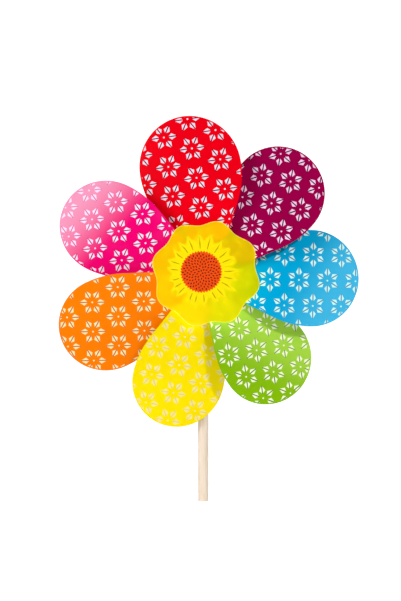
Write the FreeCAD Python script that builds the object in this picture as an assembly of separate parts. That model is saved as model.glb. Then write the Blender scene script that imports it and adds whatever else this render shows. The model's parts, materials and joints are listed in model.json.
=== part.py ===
import FreeCAD, Part
import math
import os
from FreeCAD import Placement, Rotation, Vector

# A garden wind spinner: a flower of seven plastic film petals that turns on a wooden stick.
# All sizes are in millimetres. The origin is the centre of the stick's lower end and +Z runs
# up the stick. The flower faces -Y and turns about an axle that is parallel to Y.

# Stick and the moulded socket on its top
STICK_R = 5.0
STICK_TOP_R = 4.5
HUB_Z = 217.0
SOCKET_MOUTH_Z = HUB_Z - 32.0
TAPER_START_Z = SOCKET_MOUTH_Z - 1.0
STICK_TOP_Z = HUB_Z - 10.5
SOCKET_MOUTH_R = 7.4
COLLAR_R = 8.6
COLLAR_H = 4.0
KNUCKLE_R = 8.0
KNUCKLE_HALF = 8.5
RIB_T = 2.0
NECK_R = 7.8
RIB_HALF = 8.4
KNUCKLE_EDGE = 0.8
SOCKET_SPARE = 0.5
SOFT_EDGE = 0.6
FIXED_GAP = 0.02

# Stack on the axle, as positions along Y. More negative is nearer to the viewer. Everything
# that turns stands in front of the spacer, far enough to clear the stick.
AXLE_R = 2.0
AXLE_REAR_Y = 12.0
AXLE_HEAD_R = 4.0
AXLE_HEAD_H = 2.2
REAR_CAP_R = 5.0
REAR_CAP_BORE_END_Y = AXLE_REAR_Y + 0.2
REAR_CAP_END_Y = 13.6
REAR_CAP_DOME_H = 2.4
SPACER_R = 4.0
SPACER_FRONT_Y = -24.7
WASHER_R = 5.2
WASHER_T = 0.8
LOOSE_BORE_R = 2.1
END_PLAY = 0.1
BUSH_REAR_Y = SPACER_FRONT_Y - WASHER_T - END_PLAY
BUSH_FRONT_Y = BUSH_REAR_Y - 12.3
BUSH_BORE_R = 2.05
BUSH_R = 3.5
BUSH_FLANGE_R = 5.5
BUSH_FLANGE_T = 1.2
BUSH_EDGE = 0.3
BOSS_R = 9.0
BOSS_REAR_Y = BUSH_REAR_Y - BUSH_FLANGE_T
BOSS_FRONT_Y = BUSH_FRONT_Y + 0.9
BOSS_EDGE = 0.5
AXLE_HEAD_Y = BUSH_FRONT_Y - END_PLAY - WASHER_T
PETAL_Y = -34.0
CAP_R = 10.8
CAP_SKIRT_Y = PETAL_Y - 1.2
CAP_POCKET_R = 7.8
CAP_POCKET_Y = AXLE_HEAD_Y - AXLE_HEAD_H - 0.4
CAP_FRONT_Y = CAP_POCKET_Y - 1.2
CAP_EDGE = 1.0
PAD_R = 8.5
PAD_T = 0.6
PAD_EDGE = 0.1
FINE_EDGE = 0.2

# Centre disc: a scalloped film, flat in the middle and curving back a little to its rim. It is
# a little wider than high and is stuck on a little above the axle.
DISC_UP = 1.6
DISC_RIGHT = 0.3
DISC_MEAN_R = 48.2
DISC_LOBE = 2.45
DISC_LOBES = 8
DISC_FIRST_LOBE = 15.0
DISC_OVAL = 0.6
DISC_FLAT_R = 16.0
DISC_SAG = 2.0
DISC_BLANK_R = 54.0

# Petals. The petal plane crosses the axle at PETAL_Y. Along a petal, rho is the distance
# from the axle, tau is the distance across it, clockwise as seen from the front. Each film is
# pitched, so that its clockwise edge lies over the next petal, and leans back outside the arm.
FILM_T = 0.4
PITCH = 12.0
TWIST = 0.35
CUP = 0.0016
LEAN = 14.0
BEND = 30.0
FLAT_TO = 48.0
MEAN_REACH = 147.0
FIRST_ANGLE = -11.0
# Each petal: name, how far clockwise it stands of its even seventh, reach, half width, and the
# length of its rounded outer end
PETALS = (
    ("red", 3.4, 151.0, 47.5, 49.0),
    ("purple", 1.6, 149.0, 44.0, 45.0),
    ("blue", -0.2, 147.5, 45.5, 46.0),
    ("green", 0.0, 142.5, 43.5, 44.0),
    ("yellow", -0.8, 147.5, 43.5, 45.0),
    ("orange", -2.8, 148.5, 44.0, 45.0),
    ("pink", -1.5, 147.0, 43.5, 45.0),
)
SHOULDER = 38.0
SIDE_SLOPE = 0.46
TAB_HALF = 9.0
TAB_START = 13.0
TAB_END = 24.0
TAB_CORNER = 4.0
SIDE_START = 36.0
# The sheet that a petal is cut from, as a net of points this far apart
SHEET_STEP = 10.0
SHEET_START = 5.0
SHEET_END = 165.0
SHEET_HALF = 50.0
# A cutter for a petal's outline reaches this far before and behind the petal plane
CUT_REACH = 40.0

# Hub arms and the rivets that hold the petals on them
ARM_T = 2.0
ARM_SEAT = FILM_T + 0.05
ARM_ROOT = 6.0
ARM_ROOT_HALF = 4.0
ARM_WIDE_AT = 20.0
ARM_HALF = 7.0
ARM_END = 37.0
RIVET_AT = (18.0, 31.0)
RIVET_R = 1.6
RIVET_HOLE_R = 1.7
RIVET_HEAD_R = 3.2
RIVET_HEAD_H = 1.2
RIVET_TAIL_R = 2.3
RIVET_TIP_R = 1.4
RIVET_TAIL_H = 0.8
RIVET_WASHER_R = 3.4
RIVET_WASHER_T = 0.8

X, Y, Z = Vector(1, 0, 0), Vector(0, 1, 0), Vector(0, 0, 1)
# Turns a petal's own axes (along it, clockwise across it, backwards) to point up, right and back
UPRIGHT = Rotation(Vector(1, 1, 1), -120)


def closed_face(start, *steps):
    """A flat face from 2D points. A step is a point to draw a line to, or a pair (through, end)
    for an arc."""
    edges = []
    here = Vector(*start, 0)
    for step in (*steps, start):
        if isinstance(step[0], tuple):
            through, end = (Vector(*p, 0) for p in step)
            edges.append(Part.Arc(here, through, end).toShape())
        else:
            end = Vector(*step, 0)
            edges.append(Part.LineSegment(here, end).toShape())
        here = end
    return Part.Face(Part.Wire(edges))


def dome(edge_r, edge_h, top_h):
    """A point half way up a spherical dome that rises from (edge_r, edge_h) to (0, top_h)."""
    rise = top_h - edge_h
    ball_r = (edge_r * edge_r + rise * rise) / (2 * rise)
    half_turn = math.asin(edge_r / abs(ball_r)) / 2
    return (abs(ball_r) * math.sin(half_turn), top_h - ball_r * (1 - math.cos(half_turn)))


def turned_on_stick(start, *steps):
    """A solid turned about the stick's axis, from an outline of (radius, height)."""
    face = closed_face(start, *steps)
    return face.revolve(Vector(0, 0, 0), Y, 360).rotated(Vector(0, 0, 0), X, 90)


def turned_on_axle(start, *steps):
    """A solid turned about the axle, from an outline of (radius, y)."""
    return closed_face(start, *steps).revolve(Vector(0, 0, 0), Y, 360).translated(Vector(0, 0, HUB_Z))


def ring_on_axle(outer_r, bore_r, front_y, rear_y, chamfer=FINE_EDGE):
    """A ring or tube about the axle with its outer edges broken."""
    return turned_on_axle(
        (bore_r, front_y),
        (outer_r - chamfer, front_y),
        (outer_r, front_y + chamfer),
        (outer_r, rear_y - chamfer),
        (outer_r - chamfer, rear_y),
        (bore_r, rear_y),
    )


def petal_place(angle, pitch=0.0):
    """Where a petal's own axes stand for a petal at this clockwise angle."""
    turn = Rotation(Y, angle).multiply(UPRIGHT).multiply(Rotation(X, -pitch))
    return Placement(Vector(0, PETAL_Y, HUB_Z), turn)


def petal_angles():
    step = 360.0 / len(PETALS)
    return [FIRST_ANGLE + step * i + petal[1] for i, petal in enumerate(PETALS)]


def stick():
    return turned_on_stick(
        (0, 0),
        (STICK_R, 0),
        (STICK_R, TAPER_START_Z),
        (STICK_TOP_R, STICK_TOP_Z),
        (0, STICK_TOP_Z),
    )


def stick_socket():
    """A T-shaped moulding: a drafted sleeve with a collar and ribs, under a cross knuckle."""
    sleeve = turned_on_stick(
        (0, SOCKET_MOUTH_Z),
        (COLLAR_R - SOFT_EDGE, SOCKET_MOUTH_Z),
        (COLLAR_R, SOCKET_MOUTH_Z + SOFT_EDGE),
        (COLLAR_R, SOCKET_MOUTH_Z + COLLAR_H - 2 * SOFT_EDGE),
        (SOCKET_MOUTH_R, SOCKET_MOUTH_Z + COLLAR_H),
        (NECK_R, HUB_Z),
        (0, HUB_Z),
    )
    knuckle = ring_on_axle(KNUCKLE_R, 0, -KNUCKLE_HALF, KNUCKLE_HALF, KNUCKLE_EDGE)
    rib_height = HUB_Z - SOCKET_MOUTH_Z - COLLAR_H / 2
    rib = Part.makeBox(2 * RIB_HALF, RIB_T, rib_height)
    rib.translate(Vector(-RIB_HALF, -RIB_T / 2, HUB_Z - rib_height))
    body = sleeve.fuse([knuckle, rib]).removeSplitter()
    taper = (STICK_R - STICK_TOP_R) / (STICK_TOP_Z - TAPER_START_Z)
    mouth_r = STICK_R - taper * (SOCKET_MOUTH_Z - TAPER_START_Z) + FIXED_GAP
    bore = turned_on_stick(
        (0, SOCKET_MOUTH_Z),
        (mouth_r, SOCKET_MOUTH_Z),
        (STICK_TOP_R + FIXED_GAP, STICK_TOP_Z),
        (STICK_TOP_R + FIXED_GAP, STICK_TOP_Z + SOCKET_SPARE),
        (0, STICK_TOP_Z + SOCKET_SPARE),
    )
    hole_start = Vector(0, -2 * KNUCKLE_HALF, HUB_Z)
    axle_hole = Part.makeCylinder(AXLE_R + FIXED_GAP, 4 * KNUCKLE_HALF, hole_start, Y)
    return body.cut([bore, axle_hole])


def axle_pin():
    seat = AXLE_HEAD_Y
    tip = seat - AXLE_HEAD_H
    return turned_on_axle(
        (0, tip),
        (dome(AXLE_HEAD_R, seat - SOFT_EDGE, tip), (AXLE_HEAD_R, seat - SOFT_EDGE)),
        (AXLE_HEAD_R, seat),
        (AXLE_R, seat),
        (AXLE_R, AXLE_REAR_Y - SOFT_EDGE),
        (AXLE_R - SOFT_EDGE, AXLE_REAR_Y),
        (0, AXLE_REAR_Y),
    )


def axle_rear_cap():
    """A push-on cap, domed outside, over the axle's rear end."""
    shoulder = REAR_CAP_END_Y - REAR_CAP_DOME_H
    return turned_on_axle(
        (AXLE_R + FIXED_GAP, KNUCKLE_HALF),
        (REAR_CAP_R, KNUCKLE_HALF),
        (REAR_CAP_R, shoulder),
        (dome(REAR_CAP_R, shoulder, REAR_CAP_END_Y), (0, REAR_CAP_END_Y)),
        (0, REAR_CAP_BORE_END_Y),
        (AXLE_R + FIXED_GAP, REAR_CAP_BORE_END_Y),
    )


def rear_spacer():
    return ring_on_axle(SPACER_R, LOOSE_BORE_R, SPACER_FRONT_Y, -KNUCKLE_HALF)


def rear_washer():
    return ring_on_axle(WASHER_R, LOOSE_BORE_R, SPACER_FRONT_Y - WASHER_T, SPACER_FRONT_Y)


def front_washer():
    return ring_on_axle(WASHER_R, LOOSE_BORE_R, AXLE_HEAD_Y, AXLE_HEAD_Y + WASHER_T)


def hub_bush():
    return turned_on_axle(
        (BUSH_BORE_R, BUSH_FRONT_Y),
        (BUSH_R - BUSH_EDGE, BUSH_FRONT_Y),
        (BUSH_R, BUSH_FRONT_Y + BUSH_EDGE),
        (BUSH_R, BOSS_REAR_Y),
        (BUSH_FLANGE_R, BOSS_REAR_Y),
        (BUSH_FLANGE_R, BUSH_REAR_Y),
        (BUSH_BORE_R, BUSH_REAR_Y),
    )


def rivet_holes():
    """Cutters for one petal's two rivet holes, on the petal's own pitched axes."""
    return [Part.makeCylinder(RIVET_HOLE_R, 2 * ARM_ROOT, Vector(rho, 0, -ARM_ROOT), Z) for rho in RIVET_AT]


def hub_arm():
    """One flat arm on a petal's pitched axes: narrow at the boss, with a round outer end."""
    face = closed_face(
        (ARM_ROOT, ARM_ROOT_HALF),
        (ARM_WIDE_AT, ARM_HALF),
        (ARM_END - ARM_HALF, ARM_HALF),
        ((ARM_END, 0.0), (ARM_END - ARM_HALF, -ARM_HALF)),
        (ARM_WIDE_AT, -ARM_HALF),
        (ARM_ROOT, -ARM_ROOT_HALF),
    )
    arm = face.extrude(Vector(0, 0, ARM_T))
    arm.translate(Vector(0, 0, ARM_SEAT))
    return arm.cut(rivet_holes())


def hub_spider():
    """The boss with its seven pitched arms, in one moulding."""
    boss = ring_on_axle(BOSS_R, BUSH_BORE_R, BOSS_FRONT_Y, BOSS_REAR_Y, BOSS_EDGE)
    arms = []
    for angle in petal_angles():
        arm = hub_arm()
        arm.Placement = petal_place(angle, PITCH)
        arms.append(arm)
    bush_hole = Part.makeCylinder(BUSH_R + FIXED_GAP, -CAP_FRONT_Y, Vector(0, CAP_FRONT_Y, HUB_Z), Y)
    return boss.fuse(arms).cut(bush_hole).removeSplitter()


def front_cap():
    """A cup that snaps over the front of the boss, hides the axle head and carries the disc."""
    skirt_bore = BOSS_R + FIXED_GAP
    inset = CAP_EDGE * (1 - math.sqrt(0.5))
    return turned_on_axle(
        (0, CAP_FRONT_Y),
        (CAP_R - CAP_EDGE, CAP_FRONT_Y),
        ((CAP_R - inset, CAP_FRONT_Y + inset), (CAP_R, CAP_FRONT_Y + CAP_EDGE)),
        (CAP_R, CAP_SKIRT_Y),
        (skirt_bore, CAP_SKIRT_Y),
        (skirt_bore, BOSS_FRONT_Y - FIXED_GAP),
        (CAP_POCKET_R, BOSS_FRONT_Y - FIXED_GAP),
        (CAP_POCKET_R, CAP_POCKET_Y),
        (0, CAP_POCKET_Y),
    )


def adhesive_pad():
    return ring_on_axle(PAD_R, 0, CAP_FRONT_Y - PAD_T, CAP_FRONT_Y, PAD_EDGE)


def disc_outline():
    """The scalloped rim as one closed curve through each lobe's top, foot and two sides."""
    points = []
    for i in range(4 * DISC_LOBES):
        angle = DISC_FIRST_LOBE + i * 90.0 / DISC_LOBES
        lobe = math.cos(math.radians(DISC_LOBES * (angle - DISC_FIRST_LOBE)))
        r = DISC_MEAN_R + DISC_LOBE * lobe - DISC_OVAL * math.cos(math.radians(2 * angle))
        points.append(Vector(r * math.sin(math.radians(angle)), 0, r * math.cos(math.radians(angle))))
    rim = Part.BSplineCurve()
    rim.interpolate(points, PeriodicFlag=True)
    return Part.Face(Part.Wire([rim.toShape()]))


def centre_disc():
    back = CAP_FRONT_Y - PAD_T
    front = back - FILM_T
    rim = DISC_SAG
    middle_r = (DISC_FLAT_R + DISC_BLANK_R) / 2
    blank = turned_on_axle(
        (0, front),
        (DISC_FLAT_R, front),
        ((middle_r, front + rim / 4), (DISC_BLANK_R, front + rim)),
        (DISC_BLANK_R, back + rim),
        ((middle_r, back + rim / 4), (DISC_FLAT_R, back)),
        (0, back),
    )
    prism = disc_outline().translated(Vector(0, 2 * front, HUB_Z)).extrude(Vector(0, -2 * front, 0))
    return blank.common(prism).translated(Vector(DISC_RIGHT, 0, DISC_UP))


def film_depth(rho, tau):
    """How far the film stands in front of the petal plane. It is flat and pitched over the arm.
    Outside the arm the pitch eases off, the edges fall back and the whole film leans back."""
    out = max(0.0, rho - FLAT_TO)
    past = out / (MEAN_REACH - FLAT_TO)
    slope = math.tan(math.radians(PITCH)) * (1 - TWIST * past)
    cup = CUP * min(1.0, past * (2 - past))
    bent = out * out / (2 * BEND) if out < BEND else out - BEND / 2
    return slope * tau - cup * tau * tau - math.tan(math.radians(LEAN)) * bent


def film_sheet():
    """An oversize sheet of film on a petal's own axes, shaped by film_depth."""
    degree = 3
    rhos = [SHEET_START + SHEET_STEP * i for i in range(round((SHEET_END - SHEET_START) / SHEET_STEP) + 1)]
    taus = [SHEET_STEP * j - SHEET_HALF for j in range(round(2 * SHEET_HALF / SHEET_STEP) + 1)]
    poles = [[Vector(rho, tau, -film_depth(rho, tau)) for tau in taus] for rho in rhos]
    spans = [len(line) - degree for line in (rhos, taus)]
    knots = [[float(k) for k in range(n + 1)] for n in spans]
    mults = [[degree + 1] + [1] * (n - 1) + [degree + 1] for n in spans]
    surface = Part.BSplineSurface()
    surface.buildFromPolesMultsKnots(
        poles, mults[0], mults[1], knots[0], knots[1], False, False, degree, degree
    )
    return surface.toShape().extrude(Vector(0, 0, FILM_T))


def curve(*poles):
    bezier = Part.BezierCurve()
    bezier.setPoles([Vector(*p, 0) for p in poles])
    return bezier.toShape()


def petal_outline(reach, half, cap_length):
    """An egg shape: half an ellipse outside, sides that turn into straight ones, and a tab."""
    centre = reach - cap_length
    shoulder = centre - SHOULDER
    shoulder_half = half - SIDE_SLOPE * SHOULDER / 2
    side_half = shoulder_half - SIDE_SLOPE * (shoulder - SIDE_START)
    blend = (TAB_END - SIDE_START) / 2
    ellipse = Part.Ellipse(Vector(centre, 0, 0), cap_length, half)
    edges = [Part.ArcOfEllipse(ellipse, -math.pi / 2, math.pi / 2).toShape()]
    for s in (1, -1):
        edges += [
            curve((centre, s * half), (centre - SHOULDER / 2, s * half), (shoulder, s * shoulder_half)),
            curve((shoulder, s * shoulder_half), (SIDE_START, s * side_half)),
            curve(
                (SIDE_START, s * side_half),
                (SIDE_START + blend, s * (side_half + SIDE_SLOPE * blend)),
                (TAB_END - blend, s * TAB_HALF),
                (TAB_END, s * TAB_HALF),
            ),
            curve((TAB_END, s * TAB_HALF), (TAB_START + TAB_CORNER, s * TAB_HALF)),
            curve(
                (TAB_START + TAB_CORNER, s * TAB_HALF),
                (TAB_START, s * TAB_HALF),
                (TAB_START, s * (TAB_HALF - TAB_CORNER)),
            ),
        ]
    root = TAB_HALF - TAB_CORNER
    edges.append(curve((TAB_START, root), (TAB_START, -root)))
    return Part.Face(Part.Wire(Part.sortEdges(edges)[0]))


def petal(reach, half, cap_length, angle):
    outline = petal_outline(reach, half, cap_length).translated(Vector(0, 0, -CUT_REACH))
    flat = film_sheet().common(outline.extrude(Vector(0, 0, 2 * CUT_REACH)))
    holes = []
    for hole in rivet_holes():
        hole.Placement = Placement(Vector(0, 0, 0), Rotation(X, -PITCH))
        holes.append(hole)
    cut = flat.cut(holes).Solids[0]
    cut.Placement = petal_place(angle)
    return cut


def rivet(rho):
    """A snap rivet: domed head in front of the film, shank through film, arm and washer, tail."""
    washer_back = ARM_SEAT + ARM_T + RIVET_WASHER_T
    tail_end = washer_back + RIVET_TAIL_H
    face = closed_face(
        (0, -RIVET_HEAD_H),
        (dome(RIVET_HEAD_R, -FIXED_GAP, -RIVET_HEAD_H), (RIVET_HEAD_R, -FIXED_GAP)),
        (RIVET_R, -FIXED_GAP),
        (RIVET_R, washer_back),
        (RIVET_TAIL_R, washer_back),
        (RIVET_TIP_R, tail_end),
        (0, tail_end),
    )
    solid = face.revolve(Vector(0, 0, 0), Y, 360).rotated(Vector(0, 0, 0), X, 90)
    return solid.translated(Vector(rho, 0, 0))


def rivet_washer(rho):
    back = Vector(rho, 0, ARM_SEAT + ARM_T)
    ring = Part.makeCylinder(RIVET_WASHER_R, RIVET_WASHER_T, back, Z)
    return ring.cut(Part.makeCylinder(RIVET_R + FIXED_GAP, RIVET_WASHER_T, back, Z))


def on_every_arm(make):
    """One of these at each rivet place of each arm, as separate solids."""
    solids = []
    for angle in petal_angles():
        for rho in RIVET_AT:
            solid = make(rho)
            solid.Placement = petal_place(angle, PITCH).multiply(solid.Placement)
            solids.append(solid)
    return Part.makeCompound(solids)


def main():
    parts = {
        "stick": stick(),
        "stick_socket": stick_socket(),
        "axle_pin": axle_pin(),
        "axle_rear_cap": axle_rear_cap(),
        "rear_spacer": rear_spacer(),
        "rear_washer": rear_washer(),
        "front_washer": front_washer(),
        "hub_bush": hub_bush(),
        "hub_spider": hub_spider(),
        "front_cap": front_cap(),
        "adhesive_pad": adhesive_pad(),
        "centre_disc": centre_disc(),
        "petal_rivets": on_every_arm(rivet),
        "rivet_washers": on_every_arm(rivet_washer),
    }
    for (name, _, reach, half, cap_length), angle in zip(PETALS, petal_angles()):
        parts["petal_" + name] = petal(reach, half, cap_length, angle)
    os.makedirs("parts", exist_ok=True)
    for name, shape in parts.items():
        shape.exportStep(f"parts/{name}.step")
        box = shape.BoundBox
        print(
            f"{name:14s} solids {len(shape.Solids):2d} valid {shape.isValid()} volume {shape.Volume:9.1f}"
            f" y {box.YMin:6.1f} to {box.YMax:6.1f} z {box.ZMin:6.1f} to {box.ZMax:6.1f}"
        )


main()
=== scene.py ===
import json
import math
import random

import bpy
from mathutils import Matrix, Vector
from mathutils.geometry import delaunay_2d_cdt


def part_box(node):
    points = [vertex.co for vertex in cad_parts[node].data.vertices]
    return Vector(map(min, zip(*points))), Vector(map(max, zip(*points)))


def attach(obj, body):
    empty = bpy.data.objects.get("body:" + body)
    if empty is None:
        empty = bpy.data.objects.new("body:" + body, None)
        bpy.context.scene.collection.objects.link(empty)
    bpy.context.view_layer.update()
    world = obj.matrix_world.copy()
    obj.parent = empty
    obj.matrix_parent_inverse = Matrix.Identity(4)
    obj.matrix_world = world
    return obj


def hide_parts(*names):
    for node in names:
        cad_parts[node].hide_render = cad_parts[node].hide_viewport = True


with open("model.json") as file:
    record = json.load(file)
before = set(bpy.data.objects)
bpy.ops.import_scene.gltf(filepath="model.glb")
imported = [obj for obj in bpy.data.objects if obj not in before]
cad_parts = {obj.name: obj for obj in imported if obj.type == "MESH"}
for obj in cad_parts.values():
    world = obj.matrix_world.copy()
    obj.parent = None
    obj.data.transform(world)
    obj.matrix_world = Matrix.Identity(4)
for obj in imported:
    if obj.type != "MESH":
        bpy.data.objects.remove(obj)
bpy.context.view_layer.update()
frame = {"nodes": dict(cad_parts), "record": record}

# Sizes are in millimetres, as in the CAD part, and become metres when a mesh is made.
MM = 0.001
HUB_Z = frame["record"]["behaviour"]["joints"][0]["pos_m"][2] / MM
# The cap's open end stands this far in front of the petals' plane
CAP_TO_PETALS = 1.2
PETAL_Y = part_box("front_cap")[1].y / MM + CAP_TO_PETALS
DISC_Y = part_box("centre_disc")[0].y / MM
FILM_T = 0.4

# Petals, in their own coordinates: rho along the petal from the axle, tau clockwise across it
PITCH = 12.0
TWIST = 0.35
CUP = 0.0016
LEAN = 14.0
BEND = 30.0
FLAT_TO = 48.0
MEAN_REACH = 147.0
FIRST_ANGLE = -11.0
SHOULDER = 38.0
SIDE_SLOPE = 0.46
TAB_HALF = 9.0
TAB_START = 13.0
TAB_END = 24.0
TAB_CORNER = 4.0
SIDE_START = 36.0
RIVET_AT = (18.0, 31.0)
RIVET_HOLE_R = 1.7
EDGE_STEP = 1.2
GRID_STEP = 4.0

# Print on the petals: flowers of six split kites round a dot, on a triangular grid
KITE_START, KITE_WIDE_AT, KITE_END = 4.7, 7.3, 11.5
KITE_HALF = 3.0
SLIT_START, SLIT_END, SLIT_HALF = 4.4, 12.0, 0.58
DOT_R = 0.85
PRINT_MARGIN = 1.3

# Disc and its sunflower print. Angles run clockwise from the top, seen from the front.
DISC_UP, DISC_RIGHT = 1.6, 0.3
DISC_MEAN_R = 48.2
DISC_LOBE = 2.45
DISC_LOBES = 8
DISC_FIRST_LOBE = 15.0
DISC_OVAL = 0.6
# Width of the disc's paler outer band, which with the cut edge is a painted highlight along the rim
DISC_HIGHLIGHT_RIM = 0.5
DISC_FLAT_R = 16.0
DISC_SAG = 2.0
DISC_BLANK_R = 54.0
OUTLINE_POINTS = 240
SUN_UP, SUN_RIGHT = 1.8, -4.5
CORE_R = 18.9
CORE_TEETH = 44
TOOTH_TIP, TOOTH_ROOT = 0.9, 0.6
SEEDS = 130
SEED_HALF_LENGTH, SEED_HALF_WIDTH = 1.0, 0.6
SEED_MARGIN = 1.5
RAYS = 21
RAY_TIP_R = 34.6
RAY_SHIFT = 1.8
RAY_ROOT_R = 15
VEIN_ROOT_R, VEIN_MIDDLE_R, VEIN_TIP_GAP = 21.5, 26.5, 4

# A white surface gives back this share of the light
WHITE_ALBEDO = 0.8


def srgb(red, green, blue):
    """The base colour of a surface that looks like this, 0 to 255 per channel, under the lights."""
    steps = (red / 255, green / 255, blue / 255)
    linear = [c / 12.92 if c < 0.04045 else ((c + 0.055) / 1.055) ** 2.4 for c in steps]
    return tuple(WHITE_ALBEDO * c for c in linear)


# ---------------------------------------------------------------- materials

def painted_fade_factor(nodes, links, place, drift, fade):
    """A 0 to 1 factor that rises across the petal plane from start to end, a little unevenly. It places the
    painted highlights and painted shade on the petals.
    """
    angle, start, end = fade
    angle = math.radians(angle)
    project = nodes.new("ShaderNodeVectorMath")
    project.operation = "DOT_PRODUCT"
    project.inputs[1].default_value = (math.sin(angle), 0, math.cos(angle))
    links.new(place.outputs["Object"], project.inputs[0])
    rise = nodes.new("ShaderNodeMapRange")
    rise.interpolation_type = "SMOOTHSTEP"
    rise.inputs["From Min"].default_value = (start + HUB_Z * math.cos(angle)) * MM
    rise.inputs["From Max"].default_value = (end + HUB_Z * math.cos(angle)) * MM
    links.new(project.outputs["Value"], rise.inputs["Value"])
    uneven = nodes.new("ShaderNodeMapRange")
    uneven.inputs["To Min"].default_value = -0.06
    uneven.inputs["To Max"].default_value = 0.06
    links.new(drift.outputs["Fac"], uneven.inputs["Value"])
    total = nodes.new("ShaderNodeMath")
    links.new(rise.outputs["Result"], total.inputs[0])
    links.new(uneven.outputs["Result"], total.inputs[1])
    return total.outputs["Value"]


def surface(
    name, light, dark, rough, grain=60.0, stretch=(1, 1, 1), bump=0.05, pores=900.0, fade=None, **inputs
):
    """A material whose colour drifts between two shades and whose roughness and relief vary.
    With fade, an (angle, start, end) across the petal plane, it goes from light to dark there: painted
    highlight where the end colour is paler, painted shade where it is darker."""
    material = bpy.data.materials.new(name)
    material.use_nodes = True
    nodes, links = material.node_tree.nodes, material.node_tree.links
    shader = nodes["Principled BSDF"]
    place = nodes.new("ShaderNodeTexCoord")
    scaled = nodes.new("ShaderNodeMapping")
    scaled.inputs["Scale"].default_value = stretch
    links.new(place.outputs["Object"], scaled.inputs["Vector"])

    drift = nodes.new("ShaderNodeTexNoise")
    drift.inputs["Scale"].default_value = grain
    drift.inputs["Detail"].default_value = 4.0
    links.new(scaled.outputs["Vector"], drift.inputs["Vector"])
    shades = nodes.new("ShaderNodeValToRGB")
    first, last = shades.color_ramp.elements
    if fade:
        first.color, last.color = (*light, 1), (*dark, 1)
        links.new(painted_fade_factor(nodes, links, place, drift, fade), shades.inputs["Fac"])
    else:
        first.position, last.position = 0.3, 0.7
        first.color, last.color = (*dark, 1), (*light, 1)
        links.new(drift.outputs["Fac"], shades.inputs["Fac"])
    links.new(shades.outputs["Color"], shader.inputs["Base Color"])

    wear = nodes.new("ShaderNodeTexNoise")
    wear.inputs["Scale"].default_value = grain * 2.5
    wear.inputs["Detail"].default_value = 3.0
    links.new(scaled.outputs["Vector"], wear.inputs["Vector"])
    gloss = nodes.new("ShaderNodeMapRange")
    gloss.inputs["To Min"].default_value = rough * 0.85
    gloss.inputs["To Max"].default_value = min(1.0, rough * 1.15)
    links.new(wear.outputs["Fac"], gloss.inputs["Value"])
    links.new(gloss.outputs["Result"], shader.inputs["Roughness"])

    fine = nodes.new("ShaderNodeTexNoise")
    fine.inputs["Scale"].default_value = pores
    fine.inputs["Detail"].default_value = 2.0
    links.new(scaled.outputs["Vector"], fine.inputs["Vector"])
    relief = nodes.new("ShaderNodeBump")
    relief.inputs["Strength"].default_value = bump
    relief.inputs["Distance"].default_value = 0.0004
    links.new(fine.outputs["Fac"], relief.inputs["Height"])
    links.new(relief.outputs["Normal"], shader.inputs["Normal"])
    for socket, value in inputs.items():
        shader.inputs[socket.replace("_", " ")].default_value = value
    return material


def shaded(colour, factor):
    return tuple(c * factor for c in colour)


def film(name, colour, fade):
    """Glossy film. fade, if given, is the colour it fades to, then the angle, start and end; the fade is a
    painted highlight when that colour is paler and painted shade when it is darker.
    """
    other = srgb(*fade[0]) if fade else shaded(colour, 0.93)
    return surface(
        name, colour, other, 0.3, grain=35.0, bump=0.12, pores=700.0,
        fade=fade[1:] if fade else None, Specular_IOR_Level=0.02
    )


def ink(name, colour, fade=None):
    """Matt ink. fade is as in film: a painted highlight when paler, painted shade when darker."""
    other = srgb(*fade[0]) if fade else shaded(colour, 0.95)
    return surface(
        name, colour, other, 0.5, grain=180.0, bump=0.08, pores=2500.0,
        fade=fade[1:] if fade else None, Specular_IOR_Level=0.04
    )


# ---------------------------------------------------------------- thin films

def ring(u, v, radius, count):
    steps = [2 * math.pi * i / count for i in range(count)]
    return [(u + radius * math.cos(a), v + radius * math.sin(a)) for a in steps]


def bezier(poles, length):
    """Points along a Bezier curve from its first pole up to, not including, its last."""
    count = max(2, round(length / EDGE_STEP))
    points = []
    for i in range(count):
        t = i / count
        line = [Vector(p) for p in poles]
        while len(line) > 1:
            line = [a.lerp(b, t) for a, b in zip(line, line[1:])]
        points.append(tuple(line[0]))
    return points


def anticlockwise(points):
    area = sum(a[0] * b[1] - b[0] * a[1] for a, b in zip(points, points[1:] + points[:1]))
    return points if area > 0 else points[::-1]


def triangles(outline, printable, holes, prints):
    """Cuts a flat film into triangles that follow its outline, holes and prints. Gives the points
    and the triangles, each with the paint of the last print that covers it, or 0."""
    loops = [anticlockwise(loop) for loop in [outline, printable, *holes, *(points for points, _ in prints)]]
    paints = [paint for _, paint in prints]
    points, faces = [], []
    for loop in loops:
        faces.append(list(range(len(points), len(points) + len(loop))))
        points += loop
    low_u, high_u = min(p[0] for p in outline), max(p[0] for p in outline)
    low_v, high_v = min(p[1] for p in outline), max(p[1] for p in outline)
    for i in range(int((high_u - low_u) / GRID_STEP) + 1):
        for j in range(int((high_v - low_v) / GRID_STEP) + 1):
            points.append((low_u + GRID_STEP * (i + 0.5 * (j % 2)), low_v + GRID_STEP * (j + 0.3)))
    cut = delaunay_2d_cdt([Vector(p) for p in points], [], faces, 0, 1e-4, True)
    kept = []
    for corners, inside in zip(cut[2], cut[5]):
        if 0 not in inside or any(2 <= k < 2 + len(holes) for k in inside):
            continue
        last = max(inside) - 2 - len(holes)
        kept.append((list(corners), paints[last] if last >= 0 and 1 in inside else 0))
    return cut[0], kept


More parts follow.
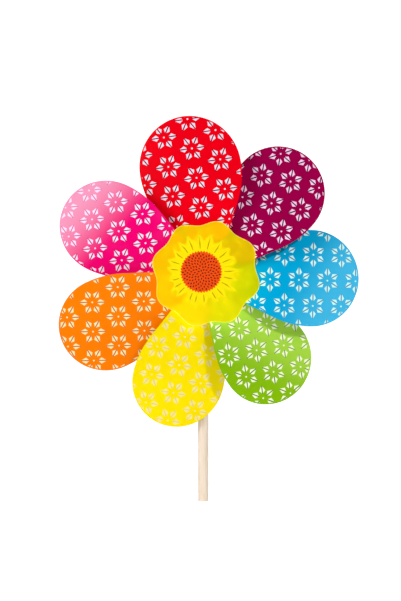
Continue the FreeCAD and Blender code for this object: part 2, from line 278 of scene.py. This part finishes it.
def film_piece(name, outline, printable, holes, prints, height, turn, middle, paints, back_paint=None):
    """A film of even thickness as one closed mesh, printed within the printable loop. height gives
    how far its front stands before its middle; turn is the clockwise angle of its first axis.
    back_paint, if given, covers the back."""
    flat, kept = triangles(outline, printable, holes, prints)
    along = Vector((math.sin(turn), 0, math.cos(turn)))
    across = Vector((math.cos(turn), 0, -math.sin(turn)))
    used = sorted({k for corners, _ in kept for k in corners})
    row = {k: i for i, k in enumerate(used)}
    front = []
    for k in used:
        u, v = flat[k]
        front.append(middle + along * u + across * v - Vector((0, height(u, v), 0)))
    back = [p + Vector((0, FILM_T, 0)) for p in front]
    count = len(used)
    faces, paint = [], []
    edges = set()
    for corners, colour in kept:
        a, b, c = (row[k] for k in corners)
        edges.update(((a, b), (b, c), (c, a)))
        faces += [(c, b, a), (a + count, b + count, c + count)]
        paint += [colour, colour if back_paint is None else back_paint]
    for a, b in sorted(edges):
        if (b, a) not in edges:
            faces.append((a, b, b + count, a + count))
            paint.append(0)
    mesh = bpy.data.meshes.new(name)
    mesh.from_pydata([tuple(p * MM) for p in front + back], [], faces)
    for material in paints:
        mesh.materials.append(material)
    mesh.polygons.foreach_set("material_index", paint)
    mesh.polygons.foreach_set("use_smooth", [True] * len(faces))
    mesh.set_sharp_from_angle(angle=math.radians(40))
    mesh.update()
    piece = bpy.data.objects.new(name, mesh)
    bpy.context.scene.collection.objects.link(piece)
    return piece


# ---------------------------------------------------------------- petals

def petal_outline(reach, half, cap_length):
    """An egg shape: half an ellipse outside, sides that turn into straight ones, and a tab."""
    centre = reach - cap_length
    shoulder = centre - SHOULDER
    shoulder_half = half - SIDE_SLOPE * SHOULDER / 2
    side_half = shoulder_half - SIDE_SLOPE * (shoulder - SIDE_START)
    blend = (TAB_END - SIDE_START) / 2
    root = TAB_HALF - TAB_CORNER
    side = [
        *bezier([(centre, half), (centre - SHOULDER / 2, half), (shoulder, shoulder_half)], SHOULDER),
        *bezier([(shoulder, shoulder_half), (SIDE_START, side_half)], shoulder - SIDE_START),
        *bezier(
            [
                (SIDE_START, side_half),
                (SIDE_START + blend, side_half + SIDE_SLOPE * blend),
                (TAB_END - blend, TAB_HALF),
                (TAB_END, TAB_HALF),
            ],
            -2 * blend,
        ),
        *bezier([(TAB_END, TAB_HALF), (TAB_START + TAB_CORNER, TAB_HALF)], TAB_END - TAB_START - TAB_CORNER),
        *bezier([(TAB_START + TAB_CORNER, TAB_HALF), (TAB_START, TAB_HALF), (TAB_START, root)], TAB_CORNER),
        (TAB_START, root),
    ]
    steps = round(math.pi * half / EDGE_STEP)
    turns = [math.pi * i / steps - math.pi / 2 for i in range(1, steps)]
    cap = [(centre + cap_length * math.cos(a), half * math.sin(a)) for a in turns]
    return cap + side + [(rho, -tau) for rho, tau in reversed(side)]


def film_depth(rho, tau):
    """How far the film stands in front of the petal plane: pitched, cupped and leaning back."""
    out = max(0.0, rho - FLAT_TO)
    past = out / (MEAN_REACH - FLAT_TO)
    slope = math.tan(math.radians(PITCH)) * (1 - TWIST * past)
    cup = CUP * min(1.0, past * (2 - past))
    bent = out * out / (2 * BEND) if out < BEND else out - BEND / 2
    return slope * tau - cup * tau * tau - math.tan(math.radians(LEAN)) * bent


def flower_print(u, v, turn):
    """One printed flower: a dot and six kites, each with a dark slit down its middle."""
    prints = [(ring(u, v, DOT_R, 10), 1)]
    for k in range(6):
        angle = math.radians(turn + 30 + 60 * k)
        cos, sin = math.cos(angle), math.sin(angle)

        def at(r, w):
            return (u + r * cos - w * sin, v + r * sin + w * cos)

        corners = ((SLIT_START, -1), (SLIT_END, -1), (SLIT_END, 1), (SLIT_START, 1))
        prints.append(([at(r, s * SLIT_HALF) for r, s in corners], 2))
        for s in (1, -1):
            half_kite = [
                at(KITE_START, s * SLIT_HALF),
                at(KITE_WIDE_AT, s * KITE_HALF),
                at(KITE_END, s * SLIT_HALF),
            ]
            prints.append((half_kite, 1))
    return prints


def petal_prints(first, shift, turn, step):
    """The printed flowers of one petal. The first one on its middle row is at rho = first."""
    cos, sin = math.cos(math.radians(turn)), math.sin(math.radians(turn))
    prints = []
    for row in range(-2, 3):
        for column in range(-1, 5):
            u = -step * (column + 0.5 * (row % 2))
            v = step * math.sqrt(0.75) * row
            prints += flower_print(first + u * cos - v * sin, shift + u * sin + v * cos, turn)
    return prints


# Each petal: name, clockwise offset, reach, half width, rounded end, then its print's place
# (from the tip, across, turned, and its step), and its film, ink and slit colours. The prints'
# places came from a program that matched them to the photograph, and the reaches and offsets
# started from one.
PETALS = (
    (
        "red", 3.4, 151.0, 47.5, 49.0, 3.3, 3.9, -0.4, 28.2,
        (241, 0, 23), (255, 222, 236), (120, 0, 60),
    ),
    (
        "purple", 1.6, 149.0, 44.0, 45.0, 1.3, 1.5, 0.0, 27.8,
        (159, 0, 73), (255, 212, 248), (74, 0, 46),
    ),
    (
        "blue", -0.2, 147.5, 45.5, 46.0, 3.1, 2.1, 0.0, 27.8,
        (0, 169, 221), (205, 254, 255), (90, 146, 170),
    ),
    (
        "green", 0.0, 142.5, 43.5, 44.0, 3.1, 1.4, -2.0, 26.8,
        (165, 214, 66), (245, 255, 208), (130, 162, 88),
    ),
    (
        "yellow", -0.8, 147.5, 43.5, 45.0, 5.2, 0.3, -3.0, 27.3,
        (250, 224, 0), (240, 223, 144), (236, 210, 96),
    ),
    (
        "orange", -2.8, 148.5, 44.0, 45.0, 3.2, -2.7, -4.6, 27.8,
        (249, 124, 0), (255, 224, 166), (186, 116, 70),
    ),
    (
        "pink", -1.5, 147.0, 43.5, 45.0, 1.9, -0.4, -2.0, 27.3,
        (236, 0, 112), (255, 224, 252), (165, 10, 98),
    ),
)
# Films with painted light: the clockwise angle of the fade, its start and end, and the colours that
# the film and its slits fade to. Blue and pink fade paler (painted highlight), green darker (painted shade).
PAINTED_LIGHT_FADES = {
    "blue": ((118.0, 67.0, 121.0), (66, 187, 233), (104, 152, 178)),
    "green": ((207.0, 20.0, 70.0), (130, 184, 4), (104, 138, 40)),
    "pink": ((-47.0, 82.0, 136.0), (240, 150, 184), (226, 128, 168)),
}
for i, row in enumerate(PETALS):
    name, offset, reach, half, cap_length, inset, shift, turn, step, base, white, dark = row
    angle = math.radians(FIRST_ANGLE + 360 / len(PETALS) * i + offset)
    # Blue and pink take a painted highlight, and green takes painted shade, from the fades here
    place, painted_film_fade, painted_slit_fade = PAINTED_LIGHT_FADES.get(name, (None, None, None))
    paints = (
        film(name + "_film", srgb(*base), (painted_film_fade, *place) if place else None),
        ink(name + "_ink", srgb(*white)),
        ink(name + "_slit", srgb(*dark), (painted_slit_fade, *place) if place else None),
    )
    petal = film_piece(
        "film_petal_" + name,
        petal_outline(reach, half, cap_length),
        petal_outline(reach - PRINT_MARGIN, half - PRINT_MARGIN, cap_length - PRINT_MARGIN),
        [ring(rho, 0, RIVET_HOLE_R, 16) for rho in RIVET_AT],
        petal_prints(reach - inset, shift, turn, step),
        film_depth,
        angle,
        Vector((0, PETAL_Y, HUB_Z)),
        paints,
    )
    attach(petal, "rotor")
    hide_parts("petal_" + name)


# ---------------------------------------------------------------- centre disc

def polar(r, angle):
    return (r * math.cos(angle), r * math.sin(angle))


def disc_outline(inset=0.0):
    points = []
    for i in range(OUTLINE_POINTS):
        angle = 2 * math.pi * i / OUTLINE_POINTS
        lobe = math.cos(DISC_LOBES * (angle - math.radians(DISC_FIRST_LOBE)))
        points.append(polar(DISC_MEAN_R + DISC_LOBE * lobe - DISC_OVAL * math.cos(2 * angle) - inset, angle))
    return points


def disc_depth(up, right):
    past = max(0.0, math.hypot(up, right) - DISC_FLAT_R) / (DISC_BLANK_R - DISC_FLAT_R)
    return -DISC_SAG * past * past


def on_sun(r, angle, sideways=0.0):
    """A point of the sunflower print from its own middle."""
    up, right = polar(r, angle)
    return (SUN_UP + up - sideways * math.sin(angle), SUN_RIGHT + right + sideways * math.cos(angle))


def sunflower_prints():
    """Pointed rays, each with a vein, then the toothed core, then its seeds."""
    dice = random.Random(21)
    prints = []
    for i in range(RAYS):
        angle = 2 * math.pi * (i + 0.25 * dice.uniform(-1, 1)) / RAYS
        tip = RAY_TIP_R + RAY_SHIFT * math.cos(angle - math.pi / 4) + dice.uniform(-1.2, 1.2)
        half = dice.uniform(4.2, 4.8)
        lean = dice.uniform(-1.6, 1.6)
        side = ((RAY_ROOT_R, 0.8), (tip - 10, 0.98), (tip - 6.5, 0.8), (tip - 3.2, 0.4))
        right_side = [on_sun(r, angle, half * w + lean * (1 - w)) for r, w in side]
        left_side = [on_sun(r, angle, lean * (1 - w) - half * w) for r, w in reversed(side)]
        prints.append((right_side + [on_sun(tip, angle, lean)] + left_side, 1))
        vein = [
            on_sun(VEIN_ROOT_R, angle, 0.4),
            on_sun(VEIN_MIDDLE_R, angle, 0.6),
            on_sun(tip - VEIN_TIP_GAP, angle, lean * 0.6),
            on_sun(VEIN_MIDDLE_R, angle, -0.4),
            on_sun(VEIN_ROOT_R, angle, -0.2),
        ]
        prints.append((vein, 2))
    teeth = [CORE_R + TOOTH_TIP, CORE_R - TOOTH_ROOT] * CORE_TEETH
    prints.append(([on_sun(r, math.pi * i / CORE_TEETH) for i, r in enumerate(teeth)], 3))
    golden = math.pi * (3 - math.sqrt(5))
    for i in range(SEEDS):
        r = (CORE_R - SEED_MARGIN) * math.sqrt((i + 0.5) / SEEDS)
        angle = golden * i
        turns = [k * math.pi / 4 for k in range(8)]
        seed = []
        for a in turns:
            seed.append(on_sun(r + SEED_HALF_LENGTH * math.cos(a), angle, SEED_HALF_WIDTH * math.sin(a)))
        prints.append((seed, 4))
    return prints


# The first paint, the paler edge colour on the disc's rim band and cut edge, is a painted highlight
disc_paints = (
    surface(
        "disc_rim_highlight", (1.0, 0.84, 0.12), (0.98, 0.8, 0.1), 0.3, grain=35.0, bump=0.03, pores=500.0,
        Transmission_Weight=0.4, IOR=1.2, Specular_IOR_Level=0.03
    ),
    ink("sun_ray", srgb(252, 230, 8)),
    ink("sun_vein", srgb(180, 146, 0)),
    ink("sun_core", srgb(240, 80, 20)),
    ink("sun_seed", srgb(76, 0, 0)),
    surface(
        "disc_film", (0.81, 0.7, 0.0), (0.78, 0.67, 0.0), 0.3, grain=35.0, bump=0.03, pores=500.0,
        Transmission_Weight=0.65, IOR=1.2, Specular_IOR_Level=0.03
    ),
)
disc = film_piece(
    "film_centre_disc",
    disc_outline(),
    disc_outline(DISC_HIGHLIGHT_RIM),
    [],
    [(disc_outline(DISC_HIGHLIGHT_RIM), 5), *sunflower_prints()],
    disc_depth,
    0.0,
    Vector((DISC_RIGHT, DISC_Y, HUB_Z + DISC_UP)),
    disc_paints,
    back_paint=5,
)
# The disc's film lets light through, and its shadow on the petals is left out
disc.visible_shadow = False
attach(disc, "rotor")
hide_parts("centre_disc")


# ---------------------------------------------------------------- CAD nodes that keep their shape

def repaint(material, *nodes):
    for node in nodes:
        data = frame["nodes"][node].data
        data.materials.clear()
        data.materials.append(material)


wood = surface(
    "birch", srgb(240, 224, 206), srgb(226, 205, 184), 0.6, grain=60.0, stretch=(9, 9, 0.5),
    bump=0.25, pores=180.0, Specular_IOR_Level=0.25
)
moulding = surface("moulding", srgb(240, 240, 236), srgb(231, 231, 226), 0.45, bump=0.08, pores=1800.0)
nylon = surface("nylon", srgb(232, 229, 218), srgb(222, 218, 205), 0.38, bump=0.05, pores=1200.0)
steel = surface(
    "zinc", (0.62, 0.62, 0.64), (0.5, 0.5, 0.53), 0.32, stretch=(1, 6, 1), bump=0.06, Metallic=1.0
)
foam = surface("foam", srgb(244, 244, 240), srgb(226, 226, 220), 0.85, grain=400.0, bump=0.4, pores=2200.0)
repaint(wood, "stick")
repaint(moulding, "stick_socket", "hub_spider", "front_cap")
repaint(nylon, "rear_spacer", "rear_washer", "front_washer", "hub_bush", "petal_rivets", "rivet_washers")
repaint(steel, "axle_pin", "axle_rear_cap")
repaint(foam, "adhesive_pad")


# ---------------------------------------------------------------- studio

STAGE_HALF_WIDTH = 3.0
STAGE_FRONT = -0.7
STAGE_TURN = 1.5
STAGE_TURN_R = 0.8
STAGE_TOP = 3.0
STAGE_BENDS = 12


def backdrop():
    """A floor that sweeps up into a wall, in one sheet."""
    line = [(STAGE_FRONT, 0.0)]
    for i in range(STAGE_BENDS + 1):
        a = math.pi / 2 * i / STAGE_BENDS
        line.append((STAGE_TURN + STAGE_TURN_R * math.sin(a), STAGE_TURN_R * (1 - math.cos(a))))
    line.append((STAGE_TURN + STAGE_TURN_R, STAGE_TOP))
    corners = [(x, y, z) for y, z in line for x in (-STAGE_HALF_WIDTH, STAGE_HALF_WIDTH)]
    faces = [(2 * i, 2 * i + 1, 2 * i + 3, 2 * i + 2) for i in range(len(line) - 1)]
    mesh = bpy.data.meshes.new("backdrop")
    mesh.from_pydata(corners, [], faces)
    mesh.polygons.foreach_set("use_smooth", [True] * len(faces))
    mesh.materials.append(
        surface(
            "paper", (0.85, 0.85, 0.85), (0.83, 0.83, 0.83), 0.9, grain=8.0, bump=0.02,
            Emission_Color=(1, 1, 1, 1), Emission_Strength=0.75, Specular_IOR_Level=0.0
        )
    )
    sheet = bpy.data.objects.new("backdrop", mesh)
    bpy.context.scene.collection.objects.link(sheet)


def softbox(name, azimuth, elevation, distance, width, height, power, glossy=True):
    """A rectangular area light that faces the flower's middle. It shows in gloss if glossy."""
    data = bpy.data.lights.new(name, "AREA")
    data.shape = "RECTANGLE"
    data.size, data.size_y = width, height
    data.energy = power
    light = bpy.data.objects.new(name, data)
    light.visible_glossy = glossy
    a, e = math.radians(azimuth), math.radians(elevation)
    away = Vector((math.sin(a) * math.cos(e), -math.cos(a) * math.cos(e), math.sin(e)))
    light.location = Vector((0, PETAL_Y, HUB_Z)) * MM + away * distance
    light.rotation_euler = (-away).to_track_quat("-Z", "Y").to_euler()
    bpy.context.scene.collection.objects.link(light)


backdrop()
softbox("front", 4.0, 30.0, 2.5, 3.6, 3.0, 3.0)
softbox("left", -54.0, 18.0, 1.8, 0.6, 0.8, 23.0)
softbox("right", 31.0, 32.0, 1.8, 0.14, 0.14, 18.5, glossy=False)

# The white surroundings are only there to be seen. They light nothing.
world = bpy.data.worlds.new("studio")
world.use_nodes = True
world.node_tree.nodes["Background"].inputs["Color"].default_value = (1, 1, 1, 1)
world.node_tree.nodes["Background"].inputs["Strength"].default_value = 1.0
world.cycles_visibility.diffuse = False
world.cycles_visibility.glossy = False
world.cycles_visibility.transmission = False
bpy.context.scene.world = world

CAMERA_AZIMUTH = -3.0
CAMERA_ELEVATION = 2.0
CAMERA_DISTANCE = 1.6
AIM = Vector((-4.4, PETAL_Y, 193.4)) * MM
SENSOR = 36.0
FIELD_HEIGHT = 0.562

camera_data = bpy.data.cameras.new("camera")
camera_data.sensor_width = SENSOR
camera_data.lens = SENSOR * CAMERA_DISTANCE / FIELD_HEIGHT
camera = bpy.data.objects.new("camera", camera_data)
azimuth, elevation = math.radians(CAMERA_AZIMUTH), math.radians(CAMERA_ELEVATION)
backwards = Vector((
    math.sin(azimuth) * math.cos(elevation),
    -math.cos(azimuth) * math.cos(elevation),
    math.sin(elevation),
))
camera.location = AIM + backwards * CAMERA_DISTANCE
camera.rotation_euler = (-backwards).to_track_quat("-Z", "Y").to_euler()
bpy.context.scene.collection.objects.link(camera)
bpy.context.scene.camera = camera
bpy.context.scene.view_settings.view_transform = "Standard"
